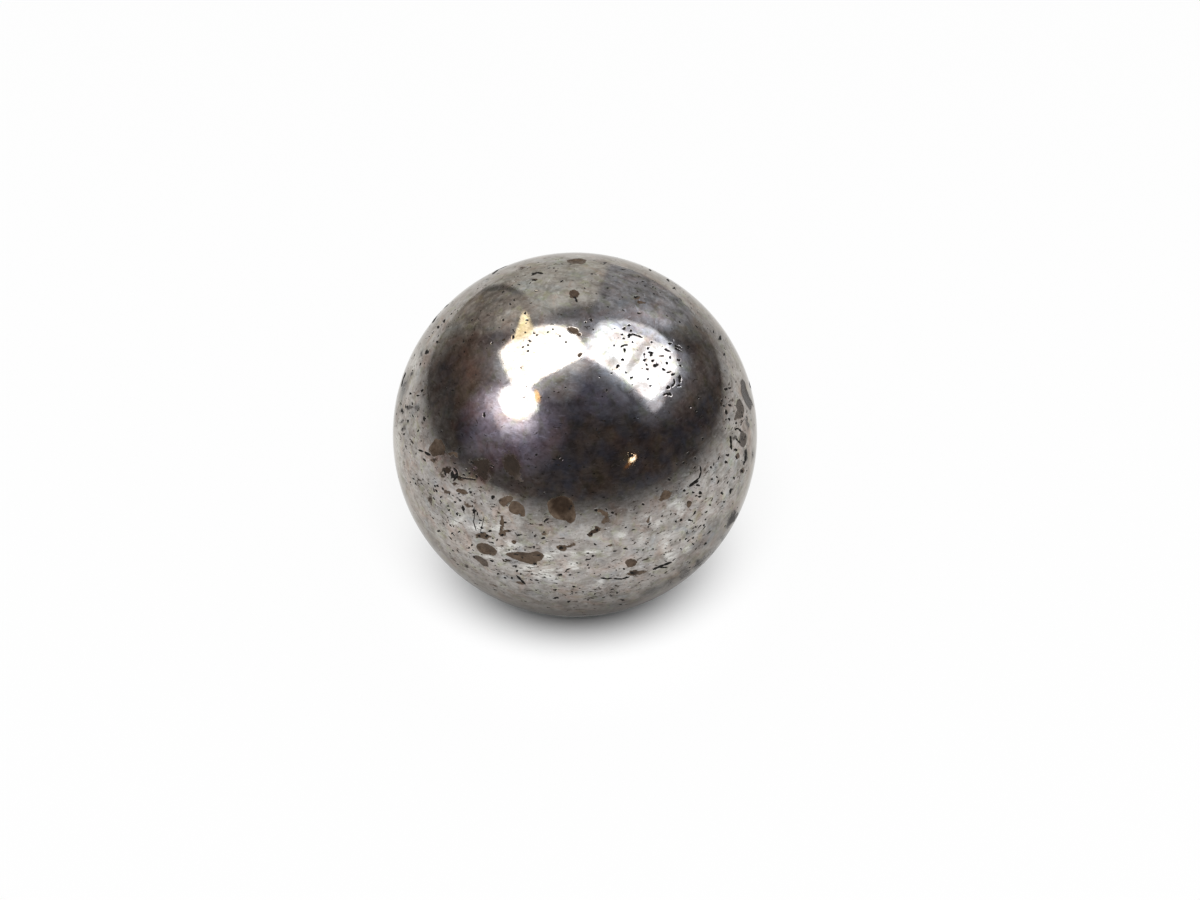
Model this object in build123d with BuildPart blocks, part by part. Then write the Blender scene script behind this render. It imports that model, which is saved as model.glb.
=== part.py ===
from build123d import *
from math import sqrt
import os

# A solid steel ball, ground and polished when new, with rust hollows eaten into its skin.
# Millimetres, +Z up, origin at the centre of the ball, the rusted side towards -Y.

# Driving dimensions
BALL_DIAMETER = 50.0
WIDEST_HOLLOW = 3.6  # across the rim of the widest hollow
HOLLOW_DIP = 0.13  # from the plane of a hollow's rim down to its floor

ball_radius = BALL_DIAMETER / 2

# Rust hollows: bearing from the front (towards +X) and height above the equator, both in degrees,
# then the width as a share of the widest hollow. Hollows that overlap have grown into one patch.
HOLLOW_SHARES = (
    # The largest patch, just below the middle, and two that have joined beside it
    (-4, 17, 1.0),
    (-2, 14, 0.6),
    (-18, 16, 0.6),
    (-22, 18, 0.45),
    # Deep patches further round to the left
    (-31, 24, 0.9),
    (-23, 31, 0.75),
    (-23, 28, 0.75),
    (-51, 23, 0.65),
    # The long patch low on the left, and two round ones beside it
    (-18, -1, 0.5),
    (-15, -1, 0.6),
    (-11, 0, 0.5),
    (-28, -2, 0.7),
    (-30, -8, 0.5),
    # Lone hollows to the right of the middle
    (30, 17, 0.45),
    (17, -4, 0.45),
    # A chain round the right side
    (66, 17, 0.75),
    (73, 24, 0.65),
    (82, 22, 0.75),
    # Round the top
    (-6, 86, 0.45),
    (178, 73, 0.7),
)

QUARTER_TURN = 90
HALF_TURN = 180


def on_skin(bearing, height):
    """Axes at the ball's centre whose x axis runs out through a place on the skin."""
    return Rotation(0, -height, bearing - QUARTER_TURN, ordering=Extrinsic.XYZ)


with BuildPart() as steel_ball:
    # The ball is half a disc turned about the vertical
    with BuildSketch(Plane.XZ):
        with BuildLine():
            CenterArc((0, 0), ball_radius, -QUARTER_TURN, HALF_TURN)
            Line((0, ball_radius), (0, -ball_radius))
        make_face()
    revolve(axis=Axis.Z)

    # Each hollow is the bite of a larger, flatter sphere that meets the skin along the rim
    for bearing, height, width_share in HOLLOW_SHARES:
        half_width = WIDEST_HOLLOW * width_share / 2
        rim_plane = sqrt(ball_radius**2 - half_width**2)
        bite_radius = (half_width**2 + HOLLOW_DIP**2) / (2 * HOLLOW_DIP)
        with Locations(on_skin(bearing, height)):
            with Locations((rim_plane - HOLLOW_DIP + bite_radius, 0, 0)):
                Sphere(bite_radius, mode=Mode.SUBTRACT)

steel_ball.part.label = "steel_ball"

os.makedirs("parts", exist_ok=True)
export_step(steel_ball.part, "parts/steel_ball.step")
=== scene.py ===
"""A worn steel ball on a pale floor: the pitted, rust-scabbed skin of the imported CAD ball."""
import math

import bmesh
import bpy
import numpy as np
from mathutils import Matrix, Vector, kdtree


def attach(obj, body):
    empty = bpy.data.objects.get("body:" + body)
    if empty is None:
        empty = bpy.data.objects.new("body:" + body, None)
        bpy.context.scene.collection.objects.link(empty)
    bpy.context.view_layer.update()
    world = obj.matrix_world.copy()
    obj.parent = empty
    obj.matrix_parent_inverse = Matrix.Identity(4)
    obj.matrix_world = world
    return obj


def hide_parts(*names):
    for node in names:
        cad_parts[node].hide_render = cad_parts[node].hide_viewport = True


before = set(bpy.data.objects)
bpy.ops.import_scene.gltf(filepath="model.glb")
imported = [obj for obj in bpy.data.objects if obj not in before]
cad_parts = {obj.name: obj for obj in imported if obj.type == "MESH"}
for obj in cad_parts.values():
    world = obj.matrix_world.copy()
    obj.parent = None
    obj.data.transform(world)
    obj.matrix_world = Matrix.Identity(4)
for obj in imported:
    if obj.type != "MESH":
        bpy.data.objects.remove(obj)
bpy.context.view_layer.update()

scene = bpy.context.scene
SEED = 41
rng = np.random.default_rng(SEED)

# The ball and the eye, in metres; the photograph's places are in its own 1200 x 900 pixels
RADIUS = 0.025
IMAGE_SIZE = (1200, 900)
BALL_PIXEL = (575.3, 434.4)
BALL_PIXEL_RADIUS = 182.2
EYE_ELEVATION = math.radians(40)
EYE_DISTANCE = 12 * RADIUS
FOCAL_PIXELS = BALL_PIXEL_RADIUS / math.tan(math.asin(RADIUS / EYE_DISTANCE))
SENSOR_WIDTH = 36.0
PIXEL_SIZE = RADIUS / BALL_PIXEL_RADIUS

# Rust scabs: place, width and height in pixels of the photograph, and tilt in degrees if not level
SCABS = (
    # On the left
    (462, 491.5, 12, 5, -20),
    # Low in the middle
    (631, 563, 11, 9),
    # Right of the middle
    (689, 504, 5, 7),
    # Round the top
    (577, 261, 18, 6), (574, 294, 11, 8), (573.5, 330.5, 12, 6, -15), (579, 334.5, 5, 3),
    (580, 355, 6, 3, 35), (640, 302, 6, 3),
    # Low on the left
    (514, 542, 5, 4),
)

# Larger scabs, each by the places that its rim runs through
SCAB_OUTLINES = (
    # The largest, below the middle
    ((547.5, 503.5), (555, 498), (568, 497), (573.5, 503), (575, 511), (574, 521), (569.5, 523.5),
     (566.5, 520.5), (561, 520), (551, 515.5)),
    # Two that have joined to its left
    ((499.3, 499.7), (505, 496.5), (512, 497), (513, 499.5), (508, 503), (504, 507), (501.5, 504.5)),
    ((509.2, 506), (513, 501.3), (520, 503), (524, 507), (525, 512), (524, 516.3), (521.5, 516.5),
     (519.5, 513.5), (516, 514.7), (509.2, 511)),
    # An oval and a long one low on the left
    ((476.3, 546), (480, 543.2), (486.5, 543.5), (493, 546.7), (496.4, 551), (493, 556), (489, 554.3),
     (483.3, 554), (478.8, 551)),
    ((505, 553.7), (510, 552.7), (529, 553), (537, 551), (542.6, 553), (542.3, 558.2), (536.5, 561.5),
     (535.5, 564.5), (523.5, 562.6), (516.5, 559.5), (508.8, 556.3)),
)

# Scabs whose edges have worn away: how much rust, how grey, then the rim
WORN_OUTLINES = (
    (0.7, 0.65, (467, 459), (474, 458), (482, 455.5), (489, 456.5), (492.5, 462), (493.5, 470),
     (492.5, 474.5), (489, 480), (484.5, 482.5), (480, 479), (474.5, 474.5), (472, 467.5)),
    (0.7, 0.65, (503, 452), (511, 451), (517.5, 455), (522, 463), (524, 474.5), (522, 480), (513, 479),
     (505, 476.5), (501.5, 472), (501.5, 460)),
    (1.0, 0.4, (473, 556.3), (481, 557), (486.5, 559.4), (487.5, 562.6), (483.3, 566.5),
     (480, 562.6), (475.7, 559.4)),
)

# A worn scab that is read as the first list is
WORN_SCABS = (
    (437, 448, 13, 16, 0),
)

# Grey scabs round the right side: how grey, then the rim
GREY_OUTLINES = (
    (1.0, (742, 379.6), (744.8, 381.5), (746.4, 389), (749.3, 396.8), (751.5, 403.8), (754, 408.3),
     (749.2, 409.5), (746, 404.4), (743, 398), (741, 390.4), (741, 386)),
    (0.6, (737.8, 399.7), (741.7, 402), (743.6, 406.4), (744.5, 411), (742.3, 416), (737.8, 418.5),
     (734, 419.7), (736, 414), (737.2, 409.5), (736, 405)),
    (0.7, (741, 431), (744, 433), (746.8, 436), (746.5, 440), (744, 447), (742, 447), (739, 442), (740, 437)),
)

# Thin rust with blurred edges, read as the scabs are, each with its strength
SOFT_SCABS = (
    (434, 460, 14, 7, 10, 0.56), (453, 454, 12, 9, 0, 0.74), (447, 470, 14, 9, 20, 0.70),
    (459, 478, 12, 6, -20, 0.70), (441, 476, 9, 6, 0, 0.68), (483, 536, 17, 8, 0, 0.84),
    (502, 523, 5, 17, 0, 0.92), (502.5, 533.5, 8, 9, 0, 0.88), (507, 531, 10, 3.5, 0, 0.84),
    (562, 548, 11, 9, 0, 0.84), (572, 546.3, 15, 4, 17, 0.8), (594.5, 531.5, 13, 5, 20, 0.92),
    (590, 534.5, 7, 5, 0, 0.9), (597, 529, 5, 9, 0, 0.86), (600, 511, 11, 3.5, -15, 0.86),
    (605, 514, 10, 6, -25, 0.86), (605.5, 521.5, 11, 5, 0, 0.84), (667, 495, 15, 12, 10, 0.95),
    (742.4, 470.8, 5, 7, 0, 0.86), (737.5, 456, 5, 9, 0, 0.74), (521, 268, 11, 4, 10, 0.74),
    (648, 520, 4, 9, 0, 0.76), (634, 573, 15, 6.5, 0, 0.94), (642, 572, 12, 5, 10, 0.72),
    (533, 519, 7, 4, 0, 0.72), (430, 500, 6, 18, 10, 0.66), (447, 492, 10, 5, 0, 0.68),
    (455, 484, 8, 5, 0, 0.68), (468, 505, 14, 5, -30, 0.68), (545, 534, 10, 4, 0, 0.66),
    (612, 545, 10, 4, 20, 0.64), (637, 298, 9, 4, 0, 0.78), (642, 303, 10, 3, 0, 0.68),
    (535, 279.5, 7, 3, 0, 0.80), (493, 585, 12, 4, -20, 0.66), (520, 583, 12, 4, -10, 0.66),
)

# Where the rust is darker, read as the scabs are, each with its strength
DARK_RUST = (
    (562, 505, 26, 20, 0, 1.2), (566, 517, 12, 10, 0, 0.6), (574, 294, 12, 9, 0, 0.7),
    (634, 573, 8, 5, 0, 1.2), (562, 548, 7, 6, 0, 0.5), (481, 468, 34, 38, 10, 1.4),
    (510, 464, 32, 36, 0, 1.2), (437, 448, 16, 18, 0, 0.4), (594, 532, 16, 12, 0, 0.9),
)

# A dark patch of mirroring steel, read as the scabs are, with its strength as a film and as a shade
DARK_FILMS = (
    (466, 424, 27, 27, 0, 1.5, 0.5),
)

# Thin brown films with no depth, read as the scabs are, each with its strength
STAINS = (
    (452, 474, 26, 22, 0, 1.4), (445, 462, 30, 26, 0, 1.3), (461, 423, 26, 32, 0, 1.0),
    (679, 402, 20, 18, 0, 1.0), (690, 500, 12, 8, 0, 0.9), (546, 496, 16, 12, 0, 0.8),
    (448, 444, 22, 16, 0, 0.9), (472, 440, 24, 20, 0, 0.7), (431, 502, 8, 14, 20, 0.9),
    (452, 562, 7, 10, 0, 0.9), (676, 578, 9, 6, 0, 0.9), (700, 350, 10, 18, 10, 0.9),
    (732, 519, 12, 26, -28, 1.5), (697, 560, 14, 20, -45, 1.4), (678, 577, 14, 8, 35, 1.3),
    (460, 380, 70, 110, 0, 0.75), (496, 450, 80, 50, -20, 0.7), (590, 400, 110, 60, 0, 0.45),
    (560, 440, 60, 50, 0, 0.6), (640, 440, 100, 60, 10, 0.45), (700, 400, 40, 90, 0, 0.6),
)

# Grey films that dim the mirror, read as the scabs are, each with its strength; the first two, along the
# bottom rim, are painted shade where the ball mirrors the floor's shadow
GREY_FILMS_AND_PAINTED_SHADE = (
    (625, 603, 34, 7, 12, 0.5), (655, 590, 26, 9, 28, 0.5), (706, 331, 56, 34, -50, 0.6),
    (440, 478, 24, 30, 0, 0.3), (713, 535, 36, 20, 52, 0.75), (690, 562, 30, 12, 44, 0.5),
)

# Thin grey scabs along the edges of the ball, read as the scabs are, each with its strength
GREY_SCABS = (
    # Lower right
    (733, 519, 24, 11, 62, 0.68), (724, 537, 24, 10, 55, 0.50), (712, 552, 22, 9, 50, 0.50),
    (699, 563.5, 22, 10, 45, 0.57), (685, 574, 22, 9, 38, 0.57), (670, 583, 22, 8, 32, 0.52),
    (652, 591.5, 24, 7, 27, 0.44),
    # Left
    (404, 386, 6, 26, -8, 0.52), (409.5, 407.5, 9, 5, 0, 0.72), (417, 407.5, 8, 7, 0, 0.52),
    (402, 411, 4, 7, 0, 0.75), (402, 421.5, 7, 4, 20, 0.75), (403.5, 428.5, 5, 8, -20, 0.66),
    (411, 374, 6, 4, 20, 0.62), (421, 353, 5, 6, -20, 0.66),
    # Right
    (751.2, 387, 4, 9, -25, 0.66), (735, 437.5, 5, 5, 0, 0.80), (753.5, 455, 4, 12, -10, 0.60),
    (746, 455, 4, 17, 5, 0.72), (748, 425, 5, 14, 10, 0.50),
)

# Black pits and dashes, read as the scabs are, to the outer edge of their blur
PIT_SHARE = 0.66
PITS = (
    # Left side
    (493, 497, 5, 5), (427, 352, 7, 6), (422.3, 390.4, 4, 4), (418, 395.5, 4, 3), (410.4, 393.6, 4, 3),
    (444, 321, 4, 4), (438, 327, 4, 4), (453, 475, 8, 10), (484, 415, 4, 6), (474, 511, 4, 8),
    (463, 508, 5, 6), (457, 514, 4, 4), (449, 510, 3, 3), (455, 502, 3, 3), (448, 506, 3, 2),
    (441, 497, 3, 3), (435, 486, 3, 3), (407, 407, 3, 4), (402, 411, 3, 4), (408, 421, 3, 4),
    (404, 434, 3, 4),
    # Low on the left
    (502, 535, 5, 3), (509, 531, 5, 2), (519, 535, 9, 2), (479, 536, 4, 3), (487, 536, 5, 3),
    (561, 548, 5, 5), (632, 573, 6, 3), (490, 531, 6, 3), (546.2, 519.8, 9, 3, 42), (470.4, 492.2, 4, 3),
    (535, 564, 5, 4), (517, 571, 4, 3), (516, 567, 3, 2), (521, 574, 4, 2), (532, 574, 4, 2),
    (560, 575, 8, 3), (570, 575, 4, 2), (555, 590, 5, 3), (556, 598, 8, 3), (572, 592, 3, 2),
    (576, 593, 3, 2), (583, 592, 3, 2), (492, 561, 6, 3), (498, 574, 4, 3), (505, 578, 4, 3),
    (512, 578, 4, 3), (472, 545, 3, 3), (469, 548, 3, 3), (474, 557, 3, 3), (497, 540, 3, 3),
    (502, 546, 4, 2), (509, 550, 3, 2), (516, 549, 3, 2), (525, 550, 3, 2), (534, 547, 4, 3),
    (535, 536, 3, 3), (544, 532, 3, 2),
    # Low in the middle
    (591.5, 534, 4, 3), (597, 530, 4, 3, 30), (588, 565, 3, 3), (589, 568, 3, 2), (593, 556, 5, 3),
    (577, 563, 3, 2), (565, 556, 3, 2), (596, 510, 6, 3), (624, 569, 3, 3), (622, 600, 7, 3),
    (617, 593, 4, 2), (611, 596, 4, 2), (595, 594, 3, 2), (588, 600, 4, 2),
    # Right side
    (643, 504, 4, 3), (676, 521.5, 4, 3, 45), (681, 520.2, 5, 3, 30), (690, 520.2, 6, 3.5, -10),
    (696, 527, 3, 3), (704, 525, 3, 3), (687, 533, 3, 3), (693, 538, 3, 3), (693, 544, 3, 3),
    (686, 539, 3, 3), (680, 540, 3, 3), (706, 543, 3, 3), (653, 549, 3, 2), (646, 544, 3, 2),
    (643, 550, 3, 2), (681, 549, 3, 2), (700.2, 492.8, 6, 4, 40), (699.5, 496.6, 5, 2.5),
    (693.2, 492.4, 4, 2.5), (730.5, 491, 4, 7.5, -10), (722, 493, 3.5, 5), (710, 505, 3, 3),
    (724, 502, 3, 3), (725.5, 389, 5, 4), (729.5, 388, 4, 3), (724, 405.5, 5, 3), (729.5, 405, 6, 3, -40),
    (735.8, 449.8, 5, 4), (727.5, 455, 5, 4), (726, 412, 4, 6), (729, 419, 3, 4), (726, 462, 4, 5),
    (744, 463, 3, 5), (742, 471, 3, 5), (711, 467, 3, 3), (695, 458, 3, 3), (712, 479, 3, 3),
    (717, 477, 3, 3), (734, 478, 3, 4), (698, 398, 3, 3), (696, 411, 3, 3), (690, 407, 3, 3),
    (720, 338, 4, 8, -20),
    # Round the top
    (534, 280, 6, 3), (605, 263, 5, 2), (618, 257, 5, 2), (629, 260, 5, 2), (650, 270, 5, 2, -20),
    (668, 280, 5, 3, -30), (674, 288, 4, 3, -30), (592, 274, 3, 2), (585, 288, 3, 2), (637, 283, 3, 2),
    (645, 286, 3, 2), (653, 287, 3, 2), (636, 297, 8, 3), (639, 313, 5, 3), (510, 304, 3, 3),
    (514, 300, 3, 3), (503, 320, 3, 3), (472, 320, 3, 3), (492, 343, 3, 3), (525, 313, 3, 3),
    (527, 320, 3, 3),
)

# Finer pits in the two bright patches near the top, right and left
FINE_SHARE = 0.74
FINE_PITS = (
    (624, 328.3, 4, 4), (629, 325, 3.5, 3), (631, 330.6, 4, 2.5), (629, 335.5, 4, 5), (622, 334.4, 3, 2),
    (623.7, 338.3, 3.5, 2), (614, 345.5, 2.5, 2), (651.6, 342, 3, 2), (648, 348.2, 3.5, 3),
    (650.8, 352.6, 8, 3, -5), (651.2, 355, 3.5, 3.5), (644.3, 354.3, 3, 3), (644.7, 360, 5.5, 3.5, 10),
    (652.7, 360.8, 5, 3), (646.6, 364.7, 3.5, 2.5, -30), (655.8, 365.4, 7.5, 4, 30), (647.4, 369.2, 3.5, 3),
    (667.3, 350.1, 8, 3, -15), (662, 355.9, 6, 2, 5), (670.3, 343.6, 5, 2.5), (678, 346.7, 9, 3, -25),
    (678, 349.7, 9, 2.5, -25), (667, 363.1, 4, 3, 10), (670.3, 357.4, 3, 3), (679, 360, 4.5, 3),
    (680.7, 365.8, 3, 2.5), (663.8, 369.6, 5, 3, -15), (668.8, 372.3, 6, 2, 15), (673, 374.6, 5, 3, 30),
    (668.4, 387.6, 4.5, 4, 30), (680, 378.8, 4, 9), (679, 385.7, 4, 3), (669.6, 394.5, 6, 4.5),
    (622.5, 359.7, 5, 3, 15), (617.5, 366.4, 5, 4, 20), (631.7, 377.7, 4, 2.5), (626, 372.7, 2.5, 2),
    (648, 379.2, 2.5, 2), (650.4, 386, 3, 2),
    # In the left patch
    (566, 342, 3, 2), (548, 332, 2.5, 2), (553, 329, 2.5, 2), (560, 336, 2.5, 2), (528, 345, 3, 2.5),
    (530, 341, 3, 2.5), (523, 347, 3, 2), (528, 351, 3, 2.5), (534, 333, 2.5, 2), (537, 335, 2.5, 2),
)

# Cracks and curved dashes: width in pixels, then the places they run through
CRACKS = (
    (1.4, (601, 578), (607, 579), (612, 578)), (1.4, (615, 579), (622, 579), (629, 577)),
    (1.8, (532, 275), (537, 272.5), (542.5, 273.5)), (1.5, (418.5, 450), (423, 451.3)),
    (2.4, (425, 452.3), (430, 454.8)), (2.0, (730.3, 436), (730.6, 439), (731, 444), (731.4, 449)),
    (1.6, (735, 430), (736.5, 428.3), (739, 429), (741, 431.5)),
    (1.6, (736, 438.5), (737.8, 440.5), (740.3, 443)), (2.0, (746, 450), (746, 455), (745, 462)),
    (1.4, (749.3, 381.5), (750.6, 387), (752.6, 391)), (1.3, (432.5, 322), (437, 315.5), (441, 311)),
    (1.2, (442, 309), (448, 305)), (1.2, (493, 273), (499, 269), (506, 266)),
    (1.3, (401.5, 386), (403, 379), (405.5, 373)),
    (0.9, (474, 508), (474.5, 515), (473.5, 522), (476, 530)),
    (0.7, (484, 517), (482.5, 524), (480.5, 531)),
    (2.0, (454, 468), (457, 471.5), (457.5, 476), (453.5, 480.5)),
    (1.3, (460, 477.5), (467, 478.5), (475, 479.5)), (2.2, (658, 567.3), (664, 565), (671, 562.4)),
    (2.2, (653.5, 569.3), (658.5, 567.3)), (1.4, (661, 568), (667, 567.3)),
    (1.5, (629, 336), (632.5, 333.8), (637.5, 335.6), (642, 337.3)),
    (1.5, (621, 347), (623.7, 345), (627.5, 345)), (1.8, (674.2, 379.6), (674.9, 383.4), (671.9, 386.5)),
    (1.4, (663.5, 395.5), (667, 393.5), (670, 394.5)),
    (1.4, (700, 466), (701, 472), (699, 478), (690, 485)), (2.0, (690, 486), (694, 483), (698, 481)),
    (2.0, (517, 576), (521, 580), (525, 584)), (2.0, (574, 296), (576, 299), (577, 302)),
)

# Bare bright steel, read as the scabs are
BRIGHT = (
    (677, 504, 14, 12), (666, 536, 8, 12), (664, 546, 10, 8, 20), (668, 554, 5, 12), (648, 517, 10, 8),
    (689, 521, 5, 4), (600, 583, 12, 8), (500, 549, 12, 5, 20), (622, 534, 9, 9), (487, 557, 20, 4, -10),
    (512, 553, 24, 6, 10), (478, 527, 20, 12, 20), (498, 528, 10, 10), (548, 556, 26, 10),
    (577, 256, 24, 3), (548, 253, 46, 8, 8), (413, 360, 10, 36, -20), (397, 445, 8, 50), (572, 566, 22, 9),
    (590, 552, 16, 8), (640, 540, 14, 9), (655, 524, 12, 9), (545, 574, 40, 14), (512, 545, 22, 7),
    (527, 568, 26, 7), (572, 554, 16, 7), (681, 513.8, 12, 6), (688, 548, 6, 5), (456, 522, 18, 8, 30),
    (671.5, 556, 12, 14),
)

# Where small pits crowd: place, spread in pixels, how many
CROWDS = (
    (480, 535, 34, 30), (520, 560, 34, 14), (440, 490, 26, 20), (710, 490, 26, 22), (690, 535, 24, 20),
    (620, 575, 40, 18), (560, 580, 34, 20), (418, 415, 18, 12), (735, 410, 16, 12), (452, 528, 26, 24),
    (432, 330, 12, 12), (478, 284, 12, 8), (545, 264, 14, 8), (690, 300, 14, 10), (722, 340, 12, 10),
    (400, 405, 12, 16), (404, 445, 12, 12), (414, 352, 10, 12), (748, 420, 10, 14), (742, 466, 12, 14),
    (448, 308, 10, 16), (495, 270, 10, 14), (622, 258, 10, 10), (668, 278, 10, 10),
)

# How many small pits are scattered all over, and how many draws are made for the hidden side's scabs
SPREAD_PITS = 260
HIDDEN_SCABS = 60

# What the steel mirrors: name, radiance, feathered share of the outline, and outline in photograph pixels
DIM_LIGHTS = (
    ("left_edge", (0.155, 0.144, 0.139), 0.6,
     ((410, 372), (437, 366), (449, 400), (447, 438), (428, 448), (409, 408))),
    ("brown_left", (0.22, 0.165, 0.14), 0.6,
     ((456, 352), (472, 330), (494, 332), (506, 356), (502, 388), (480, 408), (462, 392))),
    ("brown_right", (0.20, 0.18, 0.175), 0.6,
     ((684, 348), (706, 348), (716, 366), (706, 388), (690, 410), (676, 414), (670, 396))),
    ("lobe_left", (0.42, 0.39, 0.36), 0.10,
     ((466, 298), (482, 289), (500, 285), (515, 288), (527, 296), (533, 308), (526, 322), (500, 330),
      (474, 338), (456, 322))),
    ("lobe_right", (0.505, 0.52, 0.565), 0.08,
     ((608, 266), (640, 261), (668, 277), (692, 306), (690, 326), (660, 326), (630, 318), (596, 326),
      (588, 318), (598, 296))),
    ("lobe_left_edge", (0.24, 0.23, 0.22), 0.25,
     ((479, 292), (492, 286), (503, 284), (514, 287), (525, 295), (520, 296), (512, 291),
      (503, 289), (492, 291))),
    ("between", (0.26, 0.26, 0.28), 0.35,
     ((548, 322), (562, 307), (588, 303), (606, 313), (590, 341), (572, 332))),
    ("above_left", (0.82, 0.77, 0.70), 0.45,
     ((498, 318), (512, 304), (528, 304), (536, 318), (520, 330), (504, 330))),
    ("above_right", (0.88, 0.90, 1.04), 0.45,
     ((610, 322), (628, 308), (655, 311), (672, 326), (655, 330), (625, 322))),
    ("under_apex", (0.145, 0.151, 0.205), 0.6,
     ((540, 388), (580, 360), (616, 378), (646, 406), (610, 416), (566, 408))),
)
BRIGHT_LIGHTS = (
    ("low_haze", (0.165, 0.150, 0.152), 0.5,
     ((462, 452), (490, 440), (528, 444), (540, 466), (524, 488), (488, 490), (470, 476))),
    ("haze", (0.42, 0.39, 0.54), 0.8,
     ((477, 424), (491, 405), (526, 398), (548, 412), (548, 437), (528, 458), (492, 452))),
    ("halo", (1.2, 1.15, 1.4), 0.65,
     ((479, 410), (493, 390), (522, 388), (533, 402), (535, 427), (514, 436), (490, 428))),
    ("glow", (1.9, 1.8, 2.1), 0.4,
     ((488, 407), (498, 391), (520, 390), (530, 403), (531, 424), (514, 430), (495, 422))),
    ("under_left", (0.45, 0.46, 0.51), 0.7,
     ((541, 384), (556, 374), (572, 374), (577, 388), (566, 398), (550, 397))),
    ("window_right_side", (0.58, 0.61, 0.71), 0.35,
     ((668, 346), (680, 347), (688, 358), (688, 372), (681, 385), (670, 384), (666, 362))),
    ("window_left", (4.6, 4.5, 4.3), 0.06,
     ((500, 352), (513, 339), (533, 328), (552, 325), (564, 326.5), (575, 334), (584, 346), (584, 356),
      (572, 362), (559, 369), (542, 378), (529, 388.5), (521, 392), (514, 388))),
    ("window_left_edge", (3.4, 3.0, 2.0), 0.2,
     ((524, 311), (528, 316), (531, 324), (535, 331), (524, 340), (512, 341), (516, 332),
      (519, 325), (521, 317))),
    ("window_right", (3.6, 3.75, 4.0), 0.09,
     ((583, 352), (602, 324), (625, 322), (653, 331), (670, 347), (676, 360), (677, 372), (665, 387),
      (652, 401), (645.5, 398), (635, 389), (610, 370), (588, 358))),
    ("window_right_top", (1.65, 1.78, 2.1), 0.2,
     ((610, 323), (625, 321), (653, 330), (668, 342), (662, 345), (646, 337), (624, 331))),
    ("window_right_bar", (1.85, 1.87, 1.92), 0.35,
     ((650, 335), (656, 338), (641, 357), (629, 377), (621, 372), (633, 353))),
    ("window_right_sill", (2.1, 2.12, 2.16), 0.35,
     ((604, 364), (614, 355), (620, 359), (614, 371))),
    ("window_right_tip", (1.15, 1.18, 1.31), 0.25,
     ((645, 399), (654, 401), (664, 396), (664, 403), (655, 413), (649, 407))),
    ("blob", (4.6, 4.6, 4.8), 0.15,
     ((498, 398), (502, 390), (509, 386), (516, 390), (526, 386), (537, 396), (537, 409), (528, 418),
      (517, 420), (507, 415))),
    ("blob_edge", (3.0, 1.9, 0.9), 0.3,
     ((535, 389), (540, 394), (540, 402), (536, 402), (534, 395))),
    ("lamp_trail", (0.35, 0.16, 0.06), 0.4,
     ((624, 470), (626, 465), (630, 461), (632, 463), (628, 467))),
    ("lamp_rim", (1.4, 0.75, 0.28), 0.2,
     ((629, 463.5), (629, 459), (633.5, 454.5), (637, 455.5), (635.5, 459.5), (632, 463))),
    ("lamp", (12.0, 10.5, 8.0), 0.2,
     ((630.5, 462), (630.5, 459.5), (633.5, 456), (635.5, 456.5), (634.5, 459.5), (632, 461.8))),
)

# Scattered light round the two windows: whose, how far it is moved and spread, feather and radiance
VEILS = (
    ("window_left", (9, 7), 1.50, 0.36, (0.46, 0.46, 0.50)),
    ("window_right", (-4, 7), 1.30, 0.30, (0.345, 0.365, 0.43)),
    ("window_left", (6, 5), 1.20, 0.19, (1.15, 1.15, 1.2)),
    ("window_right", (-1, 4), 1.10, 0.13, (0.81, 0.87, 1.01)),
)

# Where the cards stand, each nearer than the one before, and how unevenly the dim ones glow
CARD_DISTANCE = 1.3
CARD_STEP = 0.02
DIM_MOTTLE = 0.38
SOFT_FEATHER = 0.18  # broader feathers have the outline's corners rounded
ROOM_RADIUS = 1.7
# The sheet of painted shade that the steel mirrors on the floor stands this far above it
SURROUND_LIFT = 0.0005  # of the dim surround above the floor

# The floor's paint fades into an even glow away from the middle of the ball's shadow: painted light that
# narrows the shadow to a compact one near the ball
FLOOR_HALF = 4.0
SHADOW_CENTRE = (0.01 * RADIUS, -0.1 * RADIUS, -RADIUS)
SHADOW_SPAN = (0.24 * RADIUS, 1.26 * RADIUS)
PAINTED_FLOOR_GLOW = 0.86

# The lamp high in front and the light from all round
KEY_SIZE = 2.9
KEY_ENERGY = 325.0
KEY_DISTANCE = 5.0
KEY_ELEVATION = math.radians(59)
FILL_STRENGTH = 0.16
BACKDROP_STRENGTH = 0.9

# How deep the marks are, in metres, and the share of the way to a scab's rim at which its bowl begins
SCAB_DEPTH = 0.00016
WORN_DEPTH = 0.00013
GREY_DEPTH = 0.0001
PIT_DEPTH = 0.00014
CRACK_DEPTH = 0.00015
HIDDEN_DEPTH = 0.00014
SCAB_BRIM = 0.85

# Rims: the shares of the way out at which a look ends and is full, and how ragged the rim is
CRISP = {"rim": (1.2, 0.8), "ragged": 0.03, "brim": SCAB_BRIM}
FADED = {"rim": (1.7, 0.25), "ragged": 0.1, "brim": SCAB_BRIM}
BLURRED = {"rim": (1.35, 0.4), "ragged": 0.25}
DARKENED = {"rim": (1.2, 0.6), "ragged": 0.1}
PIT_RIM = (1.3, 0.8)

# Scattered pits and hidden scabs, in metres; a pit's length and depth are in shares of its width
SMALLEST_PIT = 0.00007
PIT_GROWTH = 0.00009
PIT_LENGTHS = (1.1, 2.6)
PIT_STEEPNESS = 0.55
HIDDEN_SIZES = (0.0004, 0.0016)
HIDDEN_FROM = 0.1  # of the radius, behind the middle as the eye sees it
CROWD_SHARE = 2.4  # size of a crowd's patch for its spread
CRACK_OVERLAP = 1.25

# The skin's mesh: wanted edges in metres, fine ones at the rims and longer ones beyond
ICOSPHERE_LEVEL = 6
COARSE_EDGE = 0.0011
FINE_EDGES = (0.000078, 0.00019)
EDGE_SHARE = 0.55
EDGE_GROWTH = 0.6
BEYOND_RIM = 1.25
SPLIT_ABOVE = 1.35
SPLIT_MARGINS = (0.0009, 0.0005, 0.0003, 0.0002)

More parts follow.
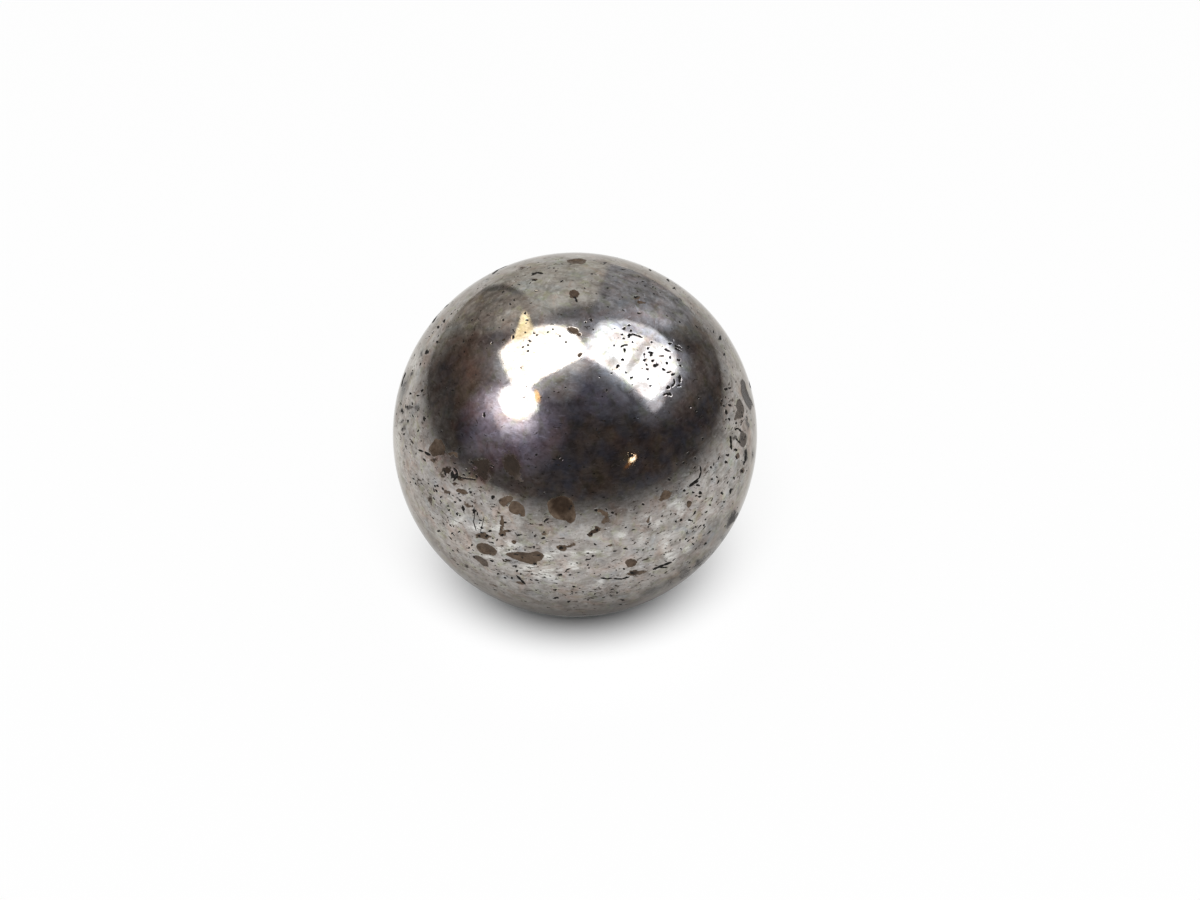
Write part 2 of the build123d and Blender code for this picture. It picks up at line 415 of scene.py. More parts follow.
# Shares of the way to a mark's rim: its floor, and where its own normals end and are full
BOWL_FLOOR = 0.3
SHAPED_RIM = (1.5, 1.15)

# What the skin's vertices tell its material
LOOKS = ("rust", "black", "bright", "film", "crowd", "shade")


def camera_axes():
    """The eye's place and its right, up and forward axes, with the ball off the frame's centre."""
    eye = np.array((0.0, -math.cos(EYE_ELEVATION), math.sin(EYE_ELEVATION))) * EYE_DISTANCE
    straight_up = np.array((0.0, math.sin(EYE_ELEVATION), math.cos(EYE_ELEVATION)))
    across = (IMAGE_SIZE[0] / 2 - BALL_PIXEL[0]) / FOCAL_PIXELS * EYE_DISTANCE
    down = (IMAGE_SIZE[1] / 2 - BALL_PIXEL[1]) / FOCAL_PIXELS * EYE_DISTANCE
    aim = np.array((across, 0.0, 0.0)) - down * straight_up
    forward = (aim - eye) / np.linalg.norm(aim - eye)
    right = np.cross(forward, (0.0, 0.0, 1.0))
    right /= np.linalg.norm(right)
    return eye, right, np.cross(right, forward), forward


EYE, RIGHT, UP, FORWARD = camera_axes()


def sight(x, y):
    """The direction in which the eye sees a pixel of the photograph."""
    across = (x - IMAGE_SIZE[0] / 2) / FOCAL_PIXELS
    up = (IMAGE_SIZE[1] / 2 - y) / FOCAL_PIXELS
    ray = FORWARD + across * RIGHT + up * UP
    return ray / np.linalg.norm(ray)


def on_ball(x, y):
    """Outward direction of the place on the ball seen at a pixel, or of the nearest place on its rim."""
    ray = sight(x, y)
    along = -EYE @ ray
    miss = EYE + along * ray
    inside = max(RADIUS**2 - miss @ miss, 0.0)
    place = miss - math.sqrt(inside) * ray
    return place / np.linalg.norm(place)


def mirrored(x, y):
    """The direction that the ball mirrors at a pixel."""
    ray = sight(x, y)
    out = on_ball(x, y)
    return ray - 2 * (ray @ out) * out


def smooth(low, high, value):
    """Eased step from 0 at low to 1 at high; high may be the smaller."""
    share = np.clip((value - low) / (high - low), 0.0, 1.0)
    return share * share * (3 - 2 * share)


class Mark:
    """A blemish on the skin: an ellipse with a ragged rim, how deep it is and what it looks like."""

    def __init__(self, centre, long_axis, short_axis, depth=0.0, rust=0.0, black=0.0, bright=0.0,
                 film=0.0, crowd=0.0, shade=0.0, rim=(1.12, 0.9), ragged=0.2, brim=1.0):
        self.centre = centre
        self.depth = depth
        self.look = dict(zip(LOOKS, (rust, black, bright, film, crowd, shade)))
        self.rim = rim
        self.brim = brim
        self.waves = [(n, ragged / n**0.5, rng.uniform(0, 2 * math.pi)) for n in (2, 3, 5, 8)]
        first = long_axis - (long_axis @ centre) * centre
        first /= np.linalg.norm(first)
        self.axes = np.array((first, np.cross(centre, first)))
        self.unskew = np.linalg.inv(np.array((self.axes @ long_axis, self.axes @ short_axis)).T)
        self.size = max(np.linalg.norm(long_axis), np.linalg.norm(short_axis))
        self.fine = min(np.linalg.norm(long_axis), np.linalg.norm(short_axis))

    def polar(self, places):
        """Turn and distance of places from the centre, in shares of the two axes."""
        flat = (places - self.centre * RADIUS) @ self.axes.T @ self.unskew.T
        return np.arctan2(flat[:, 1], flat[:, 0]), np.hypot(flat[:, 0], flat[:, 1])

    def reach(self, turn):
        """How far out the ragged rim lies at a turn."""
        return 1 + sum(size * np.sin(n * turn + start) for n, size, start in self.waves)

    def away(self, places):
        """How far out places lie: 0 at the centre, 1 on the ragged rim."""
        turn, distance = self.polar(places)
        return distance / self.reach(turn)


class OutlinedMark(Mark):
    """A blemish whose rim runs through places of the photograph."""

    def __init__(self, outline, **look):
        rim = np.array([on_ball(*place) for place in outline])
        centre = rim.mean(axis=0)
        centre /= np.linalg.norm(centre)
        _, sizes, ways = np.linalg.svd((rim - centre) * RADIUS, full_matrices=False)
        half_sizes = sizes[:2] * math.sqrt(2 / len(rim))
        long_axis, short_axis = [size * way for size, way in zip(half_sizes, ways)]
        super().__init__(centre, long_axis, short_axis, **look)
        self.turns, self.reaches = self.polar(rim * RADIUS)
        self.size *= max(self.reaches)

    def reach(self, turn):
        """How far out the outline lies at a turn, made a little ragged."""
        return super().reach(turn) * np.interp(turn, self.turns, self.reaches, period=2 * math.pi)


def seen_mark(x, y, width, height, tilt=0, **look):
    """A mark that covers an ellipse of the photograph."""
    turn = math.radians(tilt)
    step_x, step_y = math.cos(turn), -math.sin(turn)
    long_axis = on_ball(x + width / 2 * step_x, y + width / 2 * step_y)
    long_axis = long_axis - on_ball(x - width / 2 * step_x, y - width / 2 * step_y)
    short_axis = on_ball(x - height / 2 * step_y, y + height / 2 * step_x)
    short_axis = short_axis - on_ball(x + height / 2 * step_y, y - height / 2 * step_x)
    return Mark(on_ball(x, y), long_axis * RADIUS / 2, short_axis * RADIUS / 2, **look)


def crack_marks(width, *places):
    """A crack as a chain of thin pits, each reaching a little into the next."""
    for (x0, y0), (x1, y1) in zip(places, places[1:]):
        length = math.hypot(x1 - x0, y1 - y0) * CRACK_OVERLAP
        tilt = math.degrees(math.atan2(y0 - y1, x1 - x0))
        yield seen_mark((x0 + x1) / 2, (y0 + y1) / 2, length, width, tilt,
                        depth=CRACK_DEPTH, black=1.0, rim=PIT_RIM, ragged=0.06)


def loose_mark(centre, long_size, short_size, level=0.0, **look):
    """A mark at a place on the skin, turned at random, or more or less level."""
    long_axis = np.cross(centre, rng.normal((0, 0, level), 1.0))
    long_axis *= long_size / np.linalg.norm(long_axis)
    short_axis = np.cross(centre, long_axis)
    return Mark(centre, long_axis, short_axis * short_size / long_size, **look)


def small_pit(centre):
    """A pit of the size that is scattered all over."""
    size = SMALLEST_PIT + PIT_GROWTH * rng.random() ** 2
    length = size * rng.uniform(*PIT_LENGTHS)
    black = rng.uniform(0.6, 1.0)
    return loose_mark(centre, length, size, level=2.0,
                      depth=size * PIT_STEEPNESS, black=black, rim=(1.35, 0.85), ragged=0.2)


def random_place():
    """A direction drawn evenly from the whole ball."""
    place = rng.normal(size=3)
    return place / np.linalg.norm(place)


def flat_marks():
    """Brown films and bare bright patches, which have no depth."""
    for *patch, strength in STAINS:
        yield seen_mark(*patch, film=strength, rim=(1.35, 0.2), ragged=0.25)
    for patch in BRIGHT:
        yield seen_mark(*patch, bright=1.0, rim=(1.3, 0.2), ragged=0.3)


def scab_marks():
    """Rust scabs, crisp, worn, grey and soft, with the films that darken them, grey films on the steel and
    painted shade along its bottom rim.
    """
    for scab in SCABS:
        yield seen_mark(*scab, depth=SCAB_DEPTH, rust=1.0, rim=(1.25, 0.75), ragged=0.11, brim=SCAB_BRIM)
    for outline in SCAB_OUTLINES:
        yield OutlinedMark(outline, depth=SCAB_DEPTH, rust=1.0, **CRISP)
    for rust, grey, *outline in WORN_OUTLINES:
        yield OutlinedMark(outline, depth=WORN_DEPTH, rust=rust, shade=grey, **FADED)
    for grey, *outline in GREY_OUTLINES:
        yield OutlinedMark(outline, depth=GREY_DEPTH, rust=1.0, shade=grey, **CRISP)
    for *scab, strength in GREY_SCABS:
        yield seen_mark(*scab, rust=strength, shade=1.0, **BLURRED)
    # Grey films, and painted shade along the bottom rim where the ball mirrors the floor's shadow
    for *patch, strength in GREY_FILMS_AND_PAINTED_SHADE:
        yield seen_mark(*patch, shade=strength, **BLURRED)
    for *patch, strength in DARK_RUST:
        yield seen_mark(*patch, film=strength, **DARKENED)
    for scab in WORN_SCABS:
        yield seen_mark(*scab, depth=WORN_DEPTH, rust=1.0, rim=(1.6, 0.7), ragged=0.12, brim=SCAB_BRIM)
    for *scab, strength in SOFT_SCABS:
        yield seen_mark(*scab, rust=strength, rim=(1.35, 0.4), ragged=0.2)


def pit_marks():
    """Black pits, dashes and cracks read from the photograph."""
    for share, pits in ((PIT_SHARE, PITS), (FINE_SHARE, FINE_PITS)):
        for x, y, width, height, *tilt in pits:
            black = rng.uniform(0.75, 1.0)
            yield seen_mark(x, y, width * share, height * share, *tilt,
                            depth=PIT_DEPTH, black=black, rim=PIT_RIM, ragged=0.28)
    for width, *places in CRACKS:
        yield from crack_marks(width, *places)


def scattered_marks():
    """Small pits, in crowds on both sides and all over, and the scabs of the hidden side."""
    for x, y, scatter, count in CROWDS:
        size = scatter * PIXEL_SIZE * CROWD_SHARE
        for place in (on_ball(x, y), -on_ball(x, y)):
            yield loose_mark(place, size * 1.3, size, crowd=0.7, rim=(1.2, 0.1), ragged=0.2)
        for _ in range(count):
            yield small_pit(on_ball(*rng.normal((x, y), scatter)))
    for _ in range(SPREAD_PITS):
        yield small_pit(random_place())
    for _ in range(HIDDEN_SCABS):
        place = random_place()
        if place @ FORWARD < HIDDEN_FROM:
            continue
        length = rng.uniform(*HIDDEN_SIZES)
        width = length * rng.uniform(0.5, 1.0)
        yield loose_mark(place, length, width, depth=HIDDEN_DEPTH, rust=1.0, ragged=0.16)


def all_marks():
    """Every blemish, in an order that is kept because each draws from the same random numbers."""
    marks = [*flat_marks(), *scab_marks(), *pit_marks(), *scattered_marks()]
    for *patch, strength, grey in DARK_FILMS:
        marks.append(seen_mark(*patch, film=strength, shade=grey, **DARKENED))
    return marks


def near(places, marks, reach, margin):
    """For each mark, the numbers of the places within reach times its size and a margin."""
    tree = kdtree.KDTree(len(places))
    for number, place in enumerate(places):
        tree.insert(place, number)
    tree.balance()
    for mark in marks:
        found = tree.find_range(mark.centre * RADIUS, mark.size * reach + margin)
        yield mark, np.array([number for _, number, _ in found], int)


def wanted_lengths(middles, marks, margin):
    """How long the edge at each place may be, shortest at the rims of fine marks."""
    wanted = np.full(len(middles), COARSE_EDGE)
    for mark, numbers in near(middles, [mark for mark in marks if mark.depth], 1.5, margin):
        if len(numbers) == 0:
            continue
        finest = np.clip(mark.fine * EDGE_SHARE, *FINE_EDGES)
        beyond = np.maximum(mark.away(middles[numbers]) - BEYOND_RIM, 0) * mark.fine * EDGE_GROWTH
        wanted[numbers] = np.minimum(wanted[numbers], finest + beyond)
    return wanted


def refine(ball, marks):
    """Splits edges until each mark has triangles small enough for its rim."""
    for margin in SPLIT_MARGINS:
        ball.edges.ensure_lookup_table()
        ends = np.array([[v.co for v in edge.verts] for edge in ball.edges])
        lengths = np.linalg.norm(ends[:, 0] - ends[:, 1], axis=1)
        wanted = wanted_lengths(ends.mean(axis=1), marks, margin)
        chosen = [ball.edges[n] for n in np.nonzero(lengths > SPLIT_ABOVE * wanted)[0]]
        if not chosen:
            break
        bmesh.ops.subdivide_edges(ball, edges=chosen, cuts=1, use_grid_fill=True)
        bmesh.ops.triangulate(ball, faces=ball.faces)
        for v in ball.verts:
            v.co *= RADIUS / v.co.length


def press_marks(places, marks):
    """For each vertex: how deep it is sunk, how far the marks shape its normal, and its looks."""
    sunk = np.zeros(len(places))
    shaped = np.zeros(len(places))
    looks = {name: np.zeros(len(places)) for name in LOOKS}
    for mark, numbers in near(places, marks, 1.7, 0.0):
        if len(numbers) == 0:
            continue
        away = mark.away(places[numbers])
        cover = smooth(*mark.rim, away)
        bowl = smooth(mark.brim, BOWL_FLOOR, away)
        sunk[numbers] = np.maximum(sunk[numbers], mark.depth * bowl)
        if mark.depth:
            shaped[numbers] = np.maximum(shaped[numbers], smooth(*SHAPED_RIM, away))
        for name, amount in mark.look.items():
            looks[name][numbers] = np.maximum(looks[name][numbers], amount * cover)
    return sunk, shaped, looks


def skin_mesh(marks):
    """The ball's skin as a fine mesh, with every mark pressed in and its look kept on the vertices."""
    ball = bmesh.new()
    bmesh.ops.create_icosphere(ball, subdivisions=ICOSPHERE_LEVEL, radius=RADIUS)
    refine(ball, marks)
    mesh = bpy.data.meshes.new("pitted_ball")
    ball.to_mesh(mesh)
    ball.free()
    places = np.array([v.co for v in mesh.vertices])
    out = places / np.linalg.norm(places, axis=1, keepdims=True)
    sunk, shaped, looks = press_marks(places, marks)
    mesh.vertices.foreach_set("co", (places - out * sunk[:, None]).ravel())
    for name, values in looks.items():
        mesh.attributes.new(name, "FLOAT", "POINT").data.foreach_set("value", values)
    mesh.polygons.foreach_set("use_smooth", np.ones(len(mesh.polygons), bool))
    mesh.update()
    own = np.array([v.normal for v in mesh.vertices])
    normals = own * shaped[:, None] + out * (1 - shaped[:, None])
    normals /= np.linalg.norm(normals, axis=1, keepdims=True)
    mesh.normals_split_custom_set_from_vertices(normals.tolist())
    return mesh


def add(tree, kind, sockets=None, **settings):
    """A node with its settings; a socket's value is a number, a colour or another node's output."""
    made = tree.nodes.new("ShaderNode" + kind)
    for name, value in settings.items():
        setattr(made, name, value)
    for name, value in (sockets or {}).items():
        socket = made.inputs[name]
        if isinstance(value, bpy.types.NodeSocket):
            tree.links.new(value, socket)
        else:
            socket.default_value = value
    return made


def noise(tree, place, scale, detail, roughness=0.55, swirl=0.0):
    """Cloudy values round 0.5, with about scale clouds to the metre."""
    sockets = {"Vector": place, "Scale": scale, "Detail": detail, "Roughness": roughness, "Distortion": swirl}
    return add(tree, "TexNoise", sockets).outputs["Fac"]


def spread(tree, value, low, high, to_low=0.0, to_high=1.0, easing="LINEAR"):
    """A value brought from one span to another, and kept inside it."""
    sockets = {"Value": value, "From Min": low, "From Max": high, "To Min": to_low, "To Max": to_high}
    return add(tree, "MapRange", sockets, interpolation_type=easing).outputs["Result"]


def maths(tree, operation, first, second):
    """Two values put together."""
    return add(tree, "Math", {0: first, 1: second}, operation=operation).outputs[0]


def blend(tree, share, first, second, kind="MIX"):
    """Two colours mixed by a share."""
    made = add(tree, "Mix", {"Factor": share}, data_type="RGBA", blend_type=kind)
    for socket, value in ((made.inputs[6], first), (made.inputs[7], second)):
        if isinstance(value, bpy.types.NodeSocket):
            tree.links.new(value, socket)
        else:
            socket.default_value = (*value, 1.0)
    return made.outputs[2]


def new_material(name):
    """An empty node material and its output node."""
    material = bpy.data.materials.new(name)
    material.use_nodes = True
    material.node_tree.nodes.clear()
    return material, material.node_tree, add(material.node_tree, "OutputMaterial")


def etched_steel(tree, place, flat_place, clouds, patches, bright):
    """The colour of bare steel: dimmed clouds, then flakes and bright patches."""
    blotches = noise(tree, place, 560, 6, 0.65, 0.8)
    tints = noise(tree, place, 330, 6, 0.65, 0.5)
    olives = noise(tree, place, 610, 5, 0.6, 0.5)
    flakes = noise(tree, flat_place, 900, 5, 0.65, 1.0)
    smears = noise(tree, flat_place, 800, 5, 0.6, 1.0)
    grain = noise(tree, place, 2600, 3)
    steel = blend(tree, spread(tree, clouds, 0.32, 0.68), (0.384, 0.363, 0.348), (0.575, 0.552, 0.535))
    layers = (
        (spread(tree, blotches, 0.54, 0.38), (0.68, 0.67, 0.655)),
        (spread(tree, tints, 0.52, 0.64), (1.0, 0.90, 0.85)),
        (spread(tree, tints, 0.46, 0.34), (0.89, 0.95, 1.0)),
        (spread(tree, olives, 0.54, 0.64), (0.93, 0.97, 0.84)),
        (spread(tree, patches, 0, 1, 0.0, 0.6), (0.80, 0.79, 0.77)),
        (spread(tree, smears, 0.55, 0.40, 0.0, 0.5), (0.62, 0.59, 0.56)),
        (spread(tree, grain, 0.35, 0.65, 0.20, 0.0), (0.60, 0.58, 0.56)),
    )
    for share, tint in layers:
        steel = blend(tree, share, steel, tint, "MULTIPLY")
    steel = blend(tree, spread(tree, flakes, 0.60, 0.66, 0.0, 0.5), steel, (0.66, 0.66, 0.65))
    bright = maths(tree, "MULTIPLY", bright, spread(tree, flakes, 0.38, 0.60, 0.15, 1.0))
    return blend(tree, bright, steel, (0.74, 0.74, 0.71))


def filmed_steel(tree, place, steel, patches, film, shade):
    """The steel under brown films and grey shades, which leave it mirroring; part of the grey is painted
    shade along the bottom rim.
    """
    film = maths(tree, "MULTIPLY", maths(tree, "ADD", film, 0.25), spread(tree, patches, 0, 1, 0.4, 1.0))
    film_tint = noise(tree, place, 380, 4)
    film_colour = blend(tree, spread(tree, film_tint, 0.44, 0.56), (0.80, 0.58, 0.53), (0.65, 0.62, 0.49))
    colour = blend(tree, spread(tree, film, 0, 1.5), steel, film_colour, "MULTIPLY")
    return blend(tree, shade, colour, (0.41, 0.42, 0.45), "MULTIPLY")


def rust_colour(tree, crust, film, shade):
    """Brown rust, grey where a shade lies on it and darker where a film does."""
    brown = blend(tree, spread(tree, crust, 0.35, 0.65), (0.050, 0.0335, 0.0225), (0.108, 0.078, 0.056))
    brown = blend(tree, shade, brown, (0.089, 0.082, 0.076))
    return blend(tree, spread(tree, film, 0.0, 1.2), brown, (0.31, 0.275, 0.25), "MULTIPLY")


def steel_material():
    """Dull polished steel with cloudy etching, brown films, rust scabs and black pits."""
    material, tree, output = new_material("worn_steel")
    place = add(tree, "TexCoord").outputs["Object"]
    flattened = {0: place, 1: (1.0, 1.0, 2.4)}
    flat_place = add(tree, "VectorMath", flattened, operation="MULTIPLY").outputs[0]
    rust, black, bright, film, crowd, shade = [
        add(tree, "Attribute", attribute_name=name).outputs["Fac"] for name in LOOKS]

    # The steel, and the films that lie on it
    clouds = noise(tree, place, 190, 6, 0.62)
    patches = spread(tree, noise(tree, place, 420, 7, 0.68), 0.42, 0.66)
    shade = maths(tree, "MULTIPLY", shade, spread(tree, patches, 0, 1, 1.0, 0.75))
    steel = etched_steel(tree, place, flat_place, clouds, patches, bright)
    colour = filmed_steel(tree, place, steel, patches, film, shade)

    # Rust, flecks and black pits hide the steel, with edges broken up by a fine noise
    broken = maths(tree, "SUBTRACT", noise(tree, place, 1600, 6, 0.72), 0.5)
    rust = spread(tree, maths(tree, "ADD", rust, broken), 0.40, 0.60)
    black = maths(tree, "ADD", black, maths(tree, "MULTIPLY", broken, 0.6))
    crowd = maths(tree, "MULTIPLY", crowd, 0.065)
    crowd = maths(tree, "ADD", crowd, spread(tree, clouds, 0.3, 0.7, 0.03, -0.03))
    flecks = maths(tree, "ADD", noise(tree, flat_place, 700, 6, 0.7, 0.6), crowd)
    flecks = spread(tree, flecks, 0.645, 0.70, 0.0, 0.8)
    dashes = maths(tree, "ADD", noise(tree, flat_place, 1500, 3), crowd)
    dashes = spread(tree, dashes, 0.69, 0.74, 0.0, 0.85)
    black = maths(tree, "MAXIMUM", spread(tree, black, 0.40, 0.60), dashes)
    crust = noise(tree, place, 1100, 6, 0.65)
    brown = rust_colour(tree, crust, film, shade)
    colour = blend(tree, spread(tree, flecks, 0.0, 0.5), colour, (0.030, 0.020, 0.013))
    colour = blend(tree, spread(tree, rust, 0.0, 0.8), colour, brown)
    colour = blend(tree, spread(tree, black, 0.0, 0.5), colour, (0.010, 0.009, 0.008))

    # They are dull and rough, and the rust has a fine relief
    dull = maths(tree, "MAXIMUM", spread(tree, rust, 0.2, 1.0, 0.0, 0.94), spread(tree, black, 0.5, 1.0))
    dull = maths(tree, "MAXIMUM", dull, spread(tree, flecks, 0.5, 0.8, 0.0, 0.9))
    metallic = maths(tree, "SUBTRACT", 1.0, dull)
    roughness = spread(tree, patches, 0, 1, 0.035, 0.075)
    roughness = maths(tree, "ADD", roughness, maths(tree, "MULTIPLY", maths(tree, "POWER", dull, 1.5), 0.5))
    relief = maths(tree, "ADD", maths(tree, "MULTIPLY", patches, 0.15), maths(tree, "MULTIPLY", crust, rust))
    bump = add(tree, "Bump", {"Strength": 0.25, "Distance": 0.00006, "Height": relief})

    shader = add(tree, "BsdfPrincipled", {
        "Base Color": colour, "Metallic": metallic, "Roughness": roughness, "Normal": bump.outputs["Normal"],
        "Specular IOR Level": 0.12, "Specular Tint": (0.74, 0.72, 0.69, 1.0)})
    tree.links.new(shader.outputs[0], output.inputs["Surface"])
    return material


def add_object(name, mesh, material):
    """A mesh as an object of the scene."""
    made = bpy.data.objects.new(name, mesh)
    mesh.materials.append(material)
    scene.collection.objects.link(made)
    return made


def glossy_only(made):
    """Stage things that only the steel's mirror sees."""
    for kind in ("camera", "diffuse", "transmission", "volume_scatter", "shadow"):
        setattr(made, "visible_" + kind, False)


def rounded(outline):
    """An outline with its corners cut off."""
    here = np.array(outline, float)
    after = np.roll(here, -1, axis=0)
    return np.stack((0.75 * here + 0.25 * after, 0.25 * here + 0.75 * after), axis=1).reshape(-1, 2)


def light_card(name, radiance, feather, outline, distance, mottle):
    """A glowing card where the steel mirrors an outline of the photograph, fading out at its edge."""
    if feather > SOFT_FEATHER:
        outline = rounded(rounded(outline))
    centre = np.mean(outline, axis=0)
    rings = [centre + (np.array(outline) - centre) * share for share in (1 - feather, 1 + feather)]
    places = [place for ring in (*rings, [centre]) for place in ring]
    corners = [tuple(on_ball(*place) * RADIUS + mirrored(*place) * distance) for place in places]
    count = len(outline)
    faces = []
    for n in range(count):
        after = (n + 1) % count
        faces.append((n, after, count + after, count + n))
        faces.append((n, after, 2 * count))
    mesh = bpy.data.meshes.new(name)
    mesh.from_pydata(corners, [], faces)
    glowing_card(name, mesh, [1.0] * count + [0.0] * count + [1.0], radiance, mottle)


def glowing_card(name, mesh, shares, radiance, mottle=0.0):
    """A mesh that glows, more or less evenly, and hides what is behind it by the share at each corner."""
    mesh.attributes.new("glow", "FLOAT", "POINT").data.foreach_set("value", shares)
    material, tree, output = new_material(name)
    share = add(tree, "Attribute", attribute_name="glow").outputs["Fac"]
    strongest = max(radiance)
    colour = (*[part / strongest for part in radiance], 1.0)
    strength = strongest
    if mottle:
        place = add(tree, "TexCoord").outputs["Object"]
        lowest, highest = strongest * (1 - mottle), strongest * (1 + mottle)
        strength = spread(tree, noise(tree, place, 13, 5, 0.68), 0.34, 0.66, lowest, highest)
    glowing = add(tree, "Emission", {"Color": colour, "Strength": strength})
    clear = add(tree, "BsdfTransparent")
    mix = add(tree, "MixShader", {0: share, 1: clear.outputs[0], 2: glowing.outputs[0]})
    tree.links.new(mix.outputs[0], output.inputs["Surface"])
    glossy_only(add_object(name, mesh, material))


def veil_cards():
    """Faint cards behind the windows, moved and spread beyond their outlines."""
    outlines = {name: np.array(outline) for name, _, _, outline in BRIGHT_LIGHTS}
    for number, (name, shift, spread_share, feather, radiance) in enumerate(VEILS):
        centre = outlines[name].mean(axis=0)
        wider = centre + shift + (outlines[name] - centre) * spread_share
        yield f"{name}_veil_{number}", radiance, feather, wider


def light_cards():
    """All the cards, the dim ones farthest from the ball."""
    for number, card in enumerate((*DIM_LIGHTS, *veil_cards(), *BRIGHT_LIGHTS)):
        mottle = DIM_MOTTLE if number < len(DIM_LIGHTS) else 0.0
        light_card(*card, CARD_DISTANCE - CARD_STEP * number, mottle)


def dark_room():
    """A dim room round the ball, paler at the back, that only the steel mirrors."""
    shell = bmesh.new()
    bmesh.ops.create_uvsphere(shell, u_segments=64, v_segments=32, radius=ROOM_RADIUS)
    mesh = bpy.data.meshes.new("dark_room")
    shell.to_mesh(mesh)
    shell.free()
    material, tree, output = new_material("dark_room")
    place = add(tree, "TexCoord").outputs["Object"]
    axes = add(tree, "SeparateXYZ", {0: place})
    bearing = maths(tree, "ARCTAN2", maths(tree, "ABSOLUTE", axes.outputs["X"], 0.0),
                    maths(tree, "MULTIPLY", axes.outputs["Y"], -1.0))
    back = spread(tree, bearing, math.radians(122), math.radians(156))
    things = noise(tree, place, 3.5, 6, 0.65)
    dim = blend(tree, spread(tree, things, 0.40, 0.60), (0.058, 0.060, 0.078), (0.102, 0.084, 0.074))
    low = spread(tree, axes.outputs["Z"], 0.0, 0.12 * ROOM_RADIUS, 1.0, 0.0)
    dim = blend(tree, low, dim, (0.055, 0.053, 0.050), "ADD")
    colour = blend(tree, back, dim, (0.82, 0.82, 0.78))
    glowing = add(tree, "Emission", {"Color": colour, "Strength": 1.0})
    tree.links.new(glowing.outputs[0], output.inputs["Surface"])
    glossy_only(add_object("dark_room", mesh, material))


def surround_shade(left, drop):
    """How much painted shade dims the mirrored floor, by degrees left of the front and degrees below the
    horizon.
    """
    off_front = abs(left)
    start = 10 + 8.5 * smooth(110, 20, off_front)
    start += 3.5 * smooth(62, 76, left) * smooth(104, 92, left)
    start -= 9 * smooth(66, 56, left) * smooth(26, 36, left)
    start += 3.5 * smooth(72, 84, -left) * smooth(106, 96, -left)
    # Painted shade far out, where the mirrored floor fades into the dim room
    far_shade = 0.97 * smooth(start, -1, drop) * smooth(160, 108, off_front)
    # Painted shadow near the ball, wider than the shadow on the floor itself
    near_shade = (0.45 + 0.28 * smooth(80, 10, off_front)) * smooth(30, 56, drop)
    return float(max(far_shade, near_shade))


def painted_shade_surround():
    """A glossy-only sheet of painted shade on the floor as the steel mirrors it: it fades into the dim room,
    nearest to the ball in front, and near the ball it is a painted shadow wider than the floor's own.
    """
    bearings = range(0, 360, 6)
    drops = (62, 54, 47, 41, 36, 30, 25, 20, 16, 12, 9, 6, 4, 2, 0.8)
    corners = []
    shades = []
    for bearing in bearings:
        turn = math.radians(bearing)
        left = 180 - (bearing + 180) % 360
        for drop in drops:
            far = (RADIUS - SURROUND_LIFT) / math.tan(math.radians(drop))
            corners.append((far * math.sin(turn), -far * math.cos(turn), SURROUND_LIFT - RADIUS))
            shades.append(surround_shade(left, drop))
    faces = []
    for n in range(len(bearings)):
        after = (n + 1) % len(bearings)
        for k in range(len(drops) - 1):
            first, second = n * len(drops) + k, after * len(drops) + k
            faces.append((first, first + 1, second + 1, second))
    mesh = bpy.data.meshes.new("painted_shade_surround")
    mesh.from_pydata(corners, [], faces)
    glowing_card("painted_shade_surround", mesh, shades, (0.090, 0.085, 0.085))


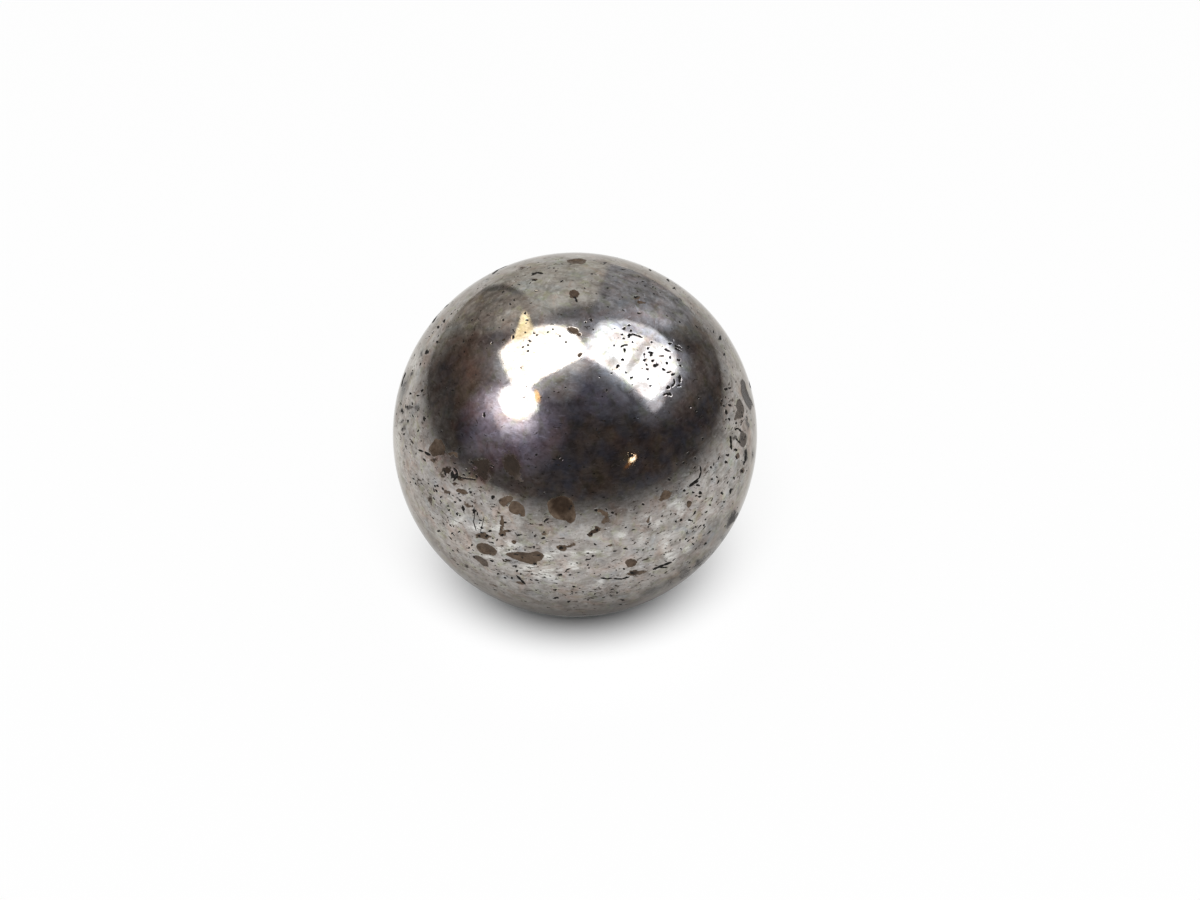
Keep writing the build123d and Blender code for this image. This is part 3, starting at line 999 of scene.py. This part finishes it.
def pale_floor():
    """The floor under the ball, with a painted glow that grows away from the middle of its shadow and narrows
    that shadow.
    """
    mesh = bpy.data.meshes.new("floor")
    sides = ((-1, -1), (1, -1), (1, 1), (-1, 1))
    mesh.from_pydata([(FLOOR_HALF * x, FLOOR_HALF * y, -RADIUS) for x, y in sides], [], [(0, 1, 2, 3)])
    material, tree, output = new_material("pale_floor")
    place = add(tree, "TexCoord").outputs["Object"]
    # Painted light: an even glow mixed into the floor away from the ball, lightening the outer part of its
    # shadow
    away = add(tree, "VectorMath", {0: place, 1: SHADOW_CENTRE}, operation="DISTANCE")
    share = spread(tree, away.outputs["Value"], *SHADOW_SPAN, 0.0, PAINTED_FLOOR_GLOW, "SMOOTHSTEP")
    plain = add(tree, "BsdfDiffuse", {"Color": (0.90, 0.90, 0.90, 1.0)})
    painted_glow = add(tree, "Emission", {"Color": (1.0, 1.0, 1.0, 1.0), "Strength": 0.98})
    mix = add(tree, "MixShader", {0: share, 1: plain.outputs[0], 2: painted_glow.outputs[0]})
    tree.links.new(mix.outputs[0], output.inputs["Surface"])
    add_object("floor", mesh, material)


def soft_key():
    """A broad lamp high in front, which the steel doesn't mirror."""
    data = bpy.data.lights.new("soft_key", "AREA")
    data.shape = "DISK"
    data.size = KEY_SIZE
    data.energy = KEY_ENERGY
    lamp = bpy.data.objects.new("soft_key", data)
    lamp.location = Vector((0.0, -math.cos(KEY_ELEVATION), math.sin(KEY_ELEVATION))) * KEY_DISTANCE
    lamp.rotation_euler = lamp.location.to_track_quat("Z", "Y").to_euler()
    lamp.visible_glossy = False
    scene.collection.objects.link(lamp)


def pale_world():
    """Soft light from all round, and a pale background above the floor."""
    world = bpy.data.worlds.new("pale_world")
    world.use_nodes = True
    tree = world.node_tree
    tree.nodes.clear()
    path = add(tree, "LightPath")
    shown = maths(tree, "MAXIMUM", path.outputs["Is Camera Ray"], path.outputs["Is Glossy Ray"])
    shown = maths(tree, "MAXIMUM", shown, path.outputs["Is Transmission Ray"])
    strength = spread(tree, shown, 0.0, 1.0, FILL_STRENGTH, BACKDROP_STRENGTH)
    back = add(tree, "Background", {"Color": (1.0, 1.0, 1.0, 1.0), "Strength": strength})
    output = add(tree, "OutputWorld")
    tree.links.new(back.outputs[0], output.inputs["Surface"])
    scene.world = world


def photo_camera():
    """The photograph's viewpoint."""
    data = bpy.data.cameras.new("camera")
    data.sensor_fit = "HORIZONTAL"
    data.sensor_width = SENSOR_WIDTH
    data.lens = FOCAL_PIXELS / IMAGE_SIZE[0] * SENSOR_WIDTH
    data.clip_start = 0.01
    camera = bpy.data.objects.new("camera", data)
    camera.location = Vector(EYE)
    camera.rotation_euler = Vector(FORWARD).to_track_quat("-Z", "Y").to_euler()
    scene.collection.objects.link(camera)
    scene.camera = camera


piece = add_object("pitted_ball", skin_mesh(all_marks()), steel_material())
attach(piece, "root")
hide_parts("steel_ball")

pale_floor()
soft_key()
pale_world()
dark_room()
painted_shade_surround()
light_cards()
photo_camera()
scene.view_settings.view_transform = "Standard"
scene.cycles.caustics_reflective = False
